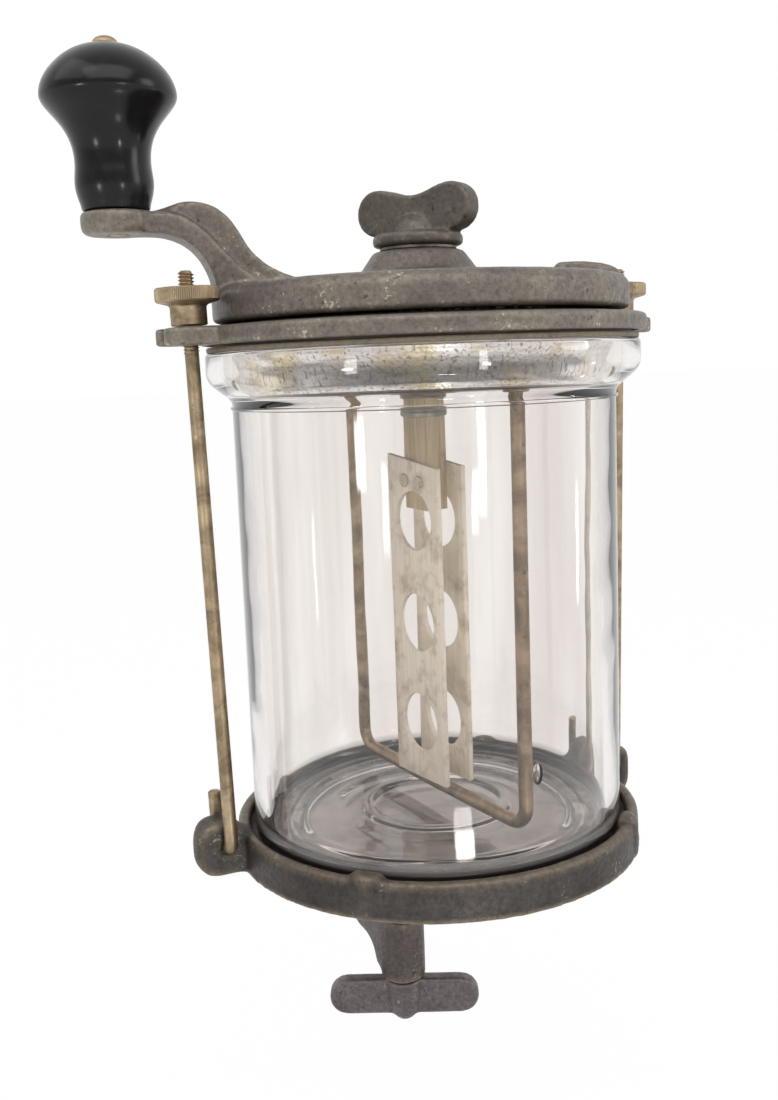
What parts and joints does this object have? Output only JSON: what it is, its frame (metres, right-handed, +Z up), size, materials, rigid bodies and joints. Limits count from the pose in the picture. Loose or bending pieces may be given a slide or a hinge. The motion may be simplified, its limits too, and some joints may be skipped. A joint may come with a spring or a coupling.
{
  "type": "glass jar butter churn",
  "caption": "Tabletop butter churn: a glass jar in a clamped iron base, with a geared crank lid that spins a slatted dasher past a fixed wire.",
  "frame": {"origin": "centre of the base's underside, where it sits on a table top", "axes": "+Z up along the jar's axis, X through the two swing rods, +Y towards the clamp's upright"},
  "size_m": [0.1861, 0.134, 0.3226],
  "materials": {
    "base_iron": "worn grey-brown, bare",
    "top_iron": "worn grey-brown, bare",
    "steel": "oiled",
    "brass": "tarnished",
    "tin": "tinned sheet, stained",
    "glass": "clear, faint lilac",
    "gasket": "aged cork-brown",
    "knob_wood": "black gloss enamel",
    "stock_wood": "bare, aged",
    "slat_wood": "bare, pale, stained"
  },
  "bodies": {
    "frame": {"base_casting": "base_iron", "jar": "glass", "lip_gasket": "gasket", "splash_pan": "tin", "lid_plate": "top_iron", "shaft_bush": "tin", "stud_front": "steel", "stud_back": "steel", "gear_bridge": "steel", "centre_post": "steel", "post_washer": "steel", "wire_frame": "brass", "wire_collars": "brass", "wire_nuts": "brass"},
    "crank": {"drive_wheel": "top_iron", "knob_rivet": "brass"},
    "knob": {"knob": "knob_wood"},
    "idler_front": {"idler_front": "steel"},
    "idler_back": {"idler_back": "steel"},
    "dasher": {"dasher_shaft": "steel", "sun_pinion": "steel", "shaft_ferrule": "tin", "paddle_stock": "stock_wood", "front_slat": "slat_wood", "back_slat": "slat_wood", "slat_rivets": "brass"},
    "wing_nut": {"wing_nut": "top_iron"},
    "rod_left": {"rod_left": "brass"},
    "nut_left": {"nut_left": "brass"},
    "rod_right": {"rod_right": "brass"},
    "nut_right": {"nut_right": "brass"},
    "clamp_foot": {"clamp_pad": "base_iron"},
    "clamp_screw": {"clamp_screw": "steel", "clamp_wing": "base_iron"}
  },
  "joints": [
    {"name": "crank_turn", "type": "hinge", "parent": "frame", "child": "crank", "pos_m": [0, 0, 0.175], "axis": [0, 0, 1], "continuous": true},
    {"name": "knob_spin", "type": "hinge", "parent": "crank", "child": "knob", "pos_m": [-0.08647, 0.01525, 0.218], "axis": [0, 0, 1], "continuous": true},
    {"name": "idler_front_spin", "type": "hinge", "parent": "frame", "child": "idler_front", "pos_m": [0, -0.032, 0.1667], "axis": [0, 0, 1], "continuous": true},
    {"name": "idler_back_spin", "type": "hinge", "parent": "frame", "child": "idler_back", "pos_m": [0, 0.032, 0.1667], "axis": [0, 0, 1], "continuous": true},
    {"name": "dasher_spin", "type": "hinge", "parent": "frame", "child": "dasher", "pos_m": [0, 0, 0.15], "axis": [0, 0, 1], "continuous": true},
    {"name": "wing_nut_turn", "type": "hinge", "parent": "frame", "child": "wing_nut", "pos_m": [0, 0, 0.19], "axis": [0, 0, 1], "range_deg": [0, 360]},
    {"name": "rod_left_swing", "type": "hinge", "parent": "frame", "child": "rod_left", "pos_m": [-0.0686, 0, 0.009], "axis": [0, -1, 0], "range_deg": [0, 80]},
    {"name": "nut_left_turn", "type": "hinge", "parent": "rod_left", "child": "nut_left", "pos_m": [-0.07174, 0, 0.16857], "axis": [-0.0197, 0, 0.9998], "range_deg": [0, 720]},
    {"name": "rod_right_swing", "type": "hinge", "parent": "frame", "child": "rod_right", "pos_m": [0.0686, 0, 0.009], "axis": [0, 1, 0], "range_deg": [0, 80]},
    {"name": "nut_right_turn", "type": "hinge", "parent": "rod_right", "child": "nut_right", "pos_m": [0.07174, 0, 0.16857], "axis": [0.0197, 0, 0.9998], "range_deg": [0, 720]},
    {"name": "clamp_feed", "type": "slide", "parent": "frame", "child": "clamp_foot", "axis": [0, 0, -1], "range_m": [0, 0.0216]},
    {"name": "clamp_turn", "type": "hinge", "parent": "clamp_foot", "child": "clamp_screw", "pos_m": [0, 0.0311, -0.04], "axis": [0, 0, -1], "range_deg": [0, 3096]}
  ],
  "couplings": [
    {"joint": "idler_front_spin", "follows": "crank_turn", "ratio": 2.6667},
    {"joint": "idler_back_spin", "follows": "crank_turn", "ratio": 2.6667},
    {"joint": "dasher_spin", "follows": "crank_turn", "ratio": -4},
    {"joint": "clamp_feed", "follows": "clamp_turn", "m_per_rad": 0.00039789}
  ]
}
